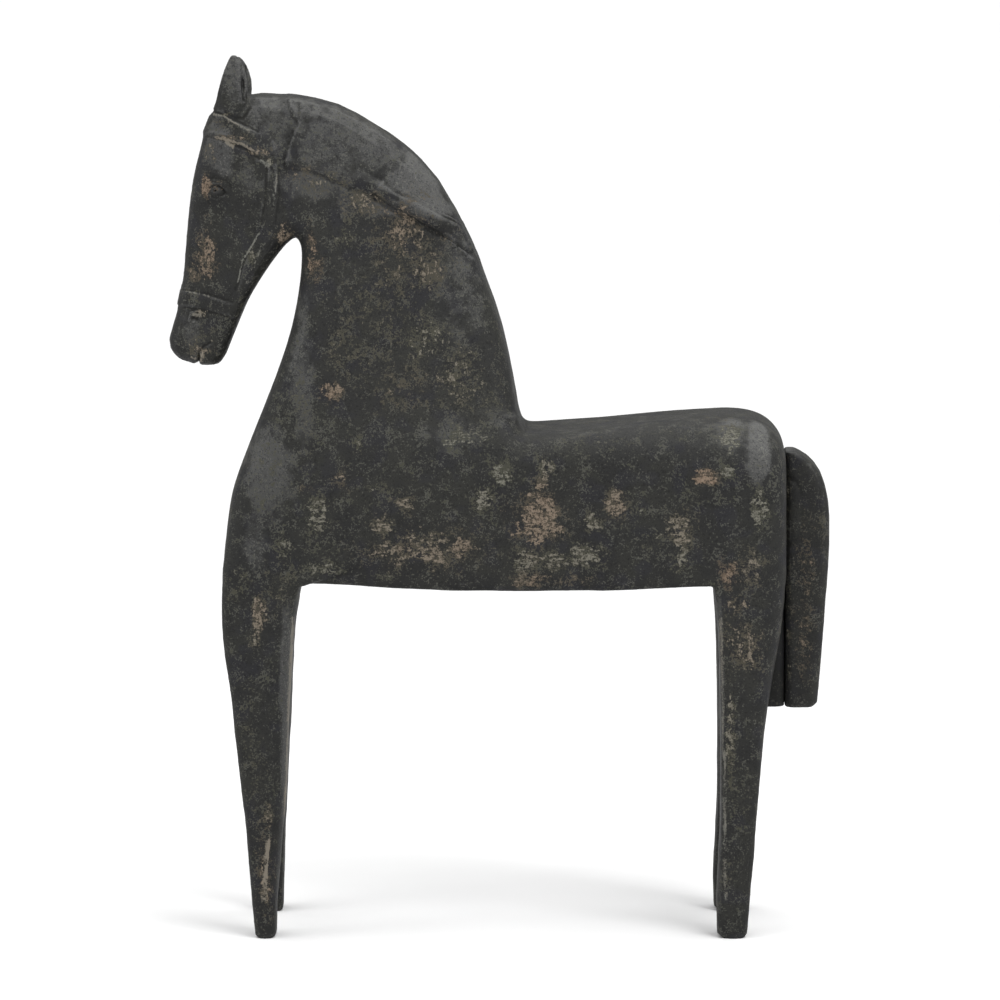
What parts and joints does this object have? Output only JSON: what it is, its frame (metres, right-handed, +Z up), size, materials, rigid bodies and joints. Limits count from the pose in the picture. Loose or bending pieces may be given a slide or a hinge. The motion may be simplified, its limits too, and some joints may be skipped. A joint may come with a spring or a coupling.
{
  "type": "wooden horse sculpture",
  "caption": "Carved standing horse in worn black-painted wood, with an arched neck, rolled mane edge, bridle, tapering legs and a plank tail.",
  "frame": {"origin": "on the ground, at the middle of the bounding box in X and Y", "axes": "+Z up, the horse looks along -X and its left flank faces -Y"},
  "size_m": [0.5714, 0.1576, 0.76],
  "materials": {
    "painted_wood": "matt black paint worn through to brown wood"
  },
  "bodies": {
    "root": {"horse": "painted_wood", "tail": "painted_wood"}
  },
  "joints": []
}
